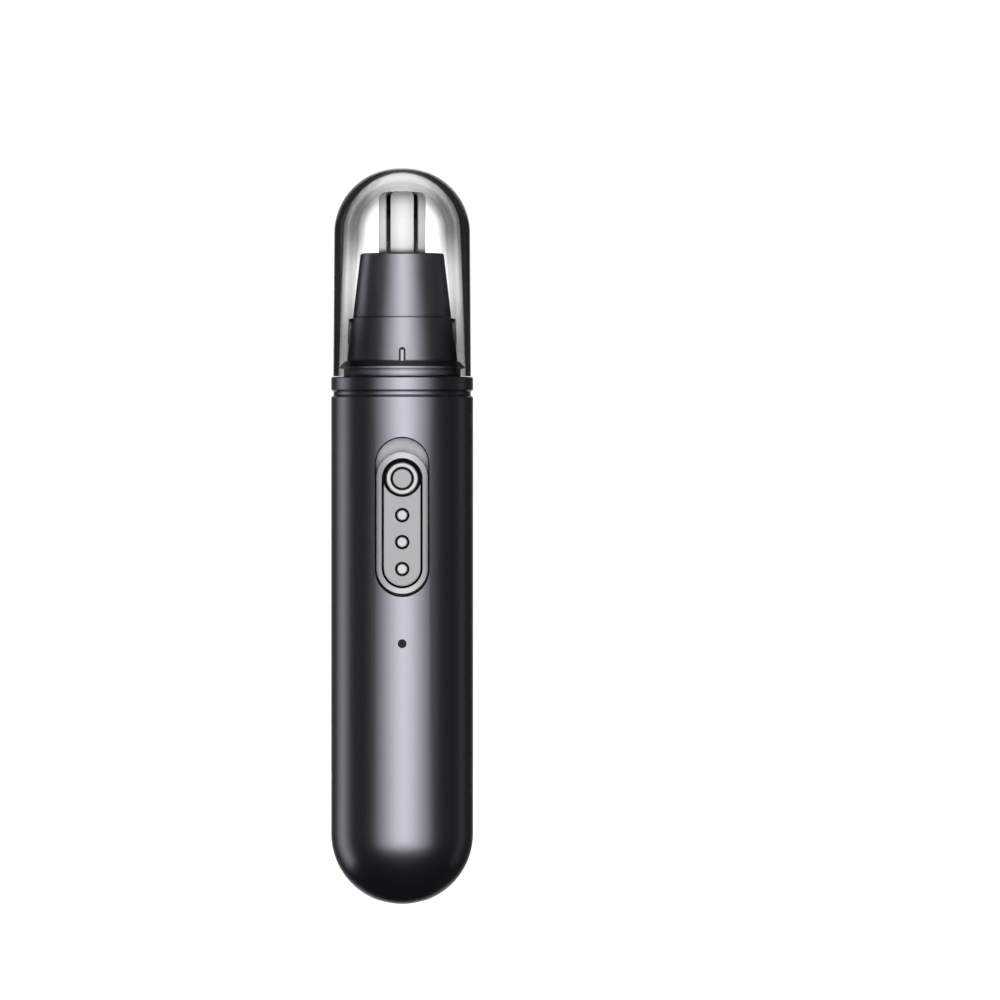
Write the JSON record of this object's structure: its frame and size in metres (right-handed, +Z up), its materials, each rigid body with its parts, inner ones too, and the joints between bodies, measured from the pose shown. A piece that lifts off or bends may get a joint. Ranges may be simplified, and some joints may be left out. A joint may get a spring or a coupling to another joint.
{
  "type": "nose hair trimmer",
  "caption": "Round rechargeable nose hair trimmer with a slide switch and lock button, pull-off slotted cutter head and a clear push-on cap.",
  "frame": {"origin": "lowest point of the round bottom, on the casing's axis", "axes": "+Z up along the casing's axis to the head, -Y out of the switch, +X to the right seen from the switch side"},
  "size_m": [0.027, 0.0272, 0.1398],
  "materials": {
    "gunmetal_casing": "satin gunmetal anodised",
    "gunmetal_plastic": "metallic gunmetal lacquer",
    "silver_plastic": "metallic silver lacquer",
    "polished_steel": "polished stainless steel",
    "clear_smoke": "clear polished polycarbonate",
    "dark_lens": "dark tinted light pipe",
    "white_plastic": "white moulded",
    "black_rubber": "matt elastomer",
    "black_plastic": "fine matt moulded",
    "grey_plastic": "fine matt moulded",
    "acetal_plastic": "natural acetal",
    "spring_steel": "drawn spring wire",
    "zinc_steel": "bright zinc plated",
    "motor_steel": "nickel plated can",
    "ferrite": "sintered ferrite",
    "copper_wire": "enamelled copper",
    "bronze": "oil-soaked sintered bronze",
    "solder_mask": "green solder mask",
    "nickel_strip": "nickel strip",
    "cell_can": "nickel plated can",
    "cell_sleeve": "shrink sleeve",
    "foam": "closed cell foam",
    "lead_red": "lead insulation",
    "lead_white": "lead insulation",
    "lead_black": "lead insulation",
    "led_white": "light emitting diode",
    "chip_black": "epoxy package",
    "tin_plate": "tin plated shell"
  },
  "bodies": {
    "casing": {"barrel_shell": "gunmetal_casing", "neck_ring": "gunmetal_plastic", "neck_seal": "black_rubber", "alignment_key": "white_plastic", "switch_trim": "silver_plastic", "indicator_lens": "dark_lens", "chassis_back": "black_plastic", "chassis_front": "grey_plastic", "chassis_screws": "zinc_steel", "motor_can": "motor_steel", "motor_magnets": "ferrite", "motor_end_bell": "black_plastic", "motor_brushes": "bronze", "motor_terminals": "nickel_strip", "motor_bush": "bronze", "shaft_seal": "black_rubber", "main_board": "solder_mask", "slide_switch_case": "tin_plate", "charge_light": "led_white", "charger_chip": "chip_black", "board_parts": "ferrite", "battery_cell": "cell_can", "battery_sleeve": "cell_sleeve", "battery_tabs": "nickel_strip", "battery_pads": "foam", "usb_board": "solder_mask", "usb_shell": "tin_plate", "usb_tongue": "black_plastic", "usb_contacts": "copper_wire", "usb_seal": "black_rubber", "motor_leads": "lead_white", "battery_leads": "lead_red", "usb_leads": "lead_black"},
    "slider": {"power_slider": "silver_plastic", "switch_knob": "black_plastic", "lock_spring": "spring_steel"},
    "lock": {"lock_button": "silver_plastic"},
    "rotor": {"motor_shaft": "zinc_steel", "armature_core": "motor_steel", "armature_coils": "copper_wire", "commutator": "copper_wire", "drive_coupler": "acetal_plastic"},
    "head": {"head_collar": "gunmetal_plastic", "head_cone": "gunmetal_plastic", "outer_guard": "polished_steel", "guard_retainer": "black_plastic", "spindle_bush": "bronze"},
    "cutter": {"cutter_spindle": "acetal_plastic", "blade_carrier": "black_plastic", "inner_blade": "polished_steel", "cutter_spring": "spring_steel", "spring_washer": "zinc_steel"},
    "cap": {"clear_cap": "clear_smoke"}
  },
  "joints": [
    {"name": "power_slide", "type": "slide", "parent": "casing", "child": "slider", "axis": [0, 0, 1], "range_m": [0, 0.00275]},
    {"name": "lock_press", "type": "slide", "parent": "slider", "child": "lock", "axis": [0, 1, 0], "range_m": [0, 0.0004], "stiffness_N_per_m": 1500, "springref_m": -0.0003, "deforming": ["lock_spring"]},
    {"name": "motor_spin", "type": "hinge", "parent": "casing", "child": "rotor", "pos_m": [0, 0, 0.078], "axis": [0, 0, 1], "continuous": true},
    {"name": "head_pull", "type": "slide", "parent": "casing", "child": "head", "axis": [0, 0, 1], "range_m": [0, 0.03]},
    {"name": "cutter_spin", "type": "hinge", "parent": "head", "child": "cutter", "pos_m": [0, 0, 0.118], "axis": [0, 0, 1], "continuous": true},
    {"name": "cap_pull", "type": "slide", "parent": "head", "child": "cap", "axis": [0, 0, 1], "range_m": [0, 0.045]}
  ],
  "couplings": [
    {"joint": "cutter_spin", "follows": "motor_spin", "ratio": 1}
  ]
}
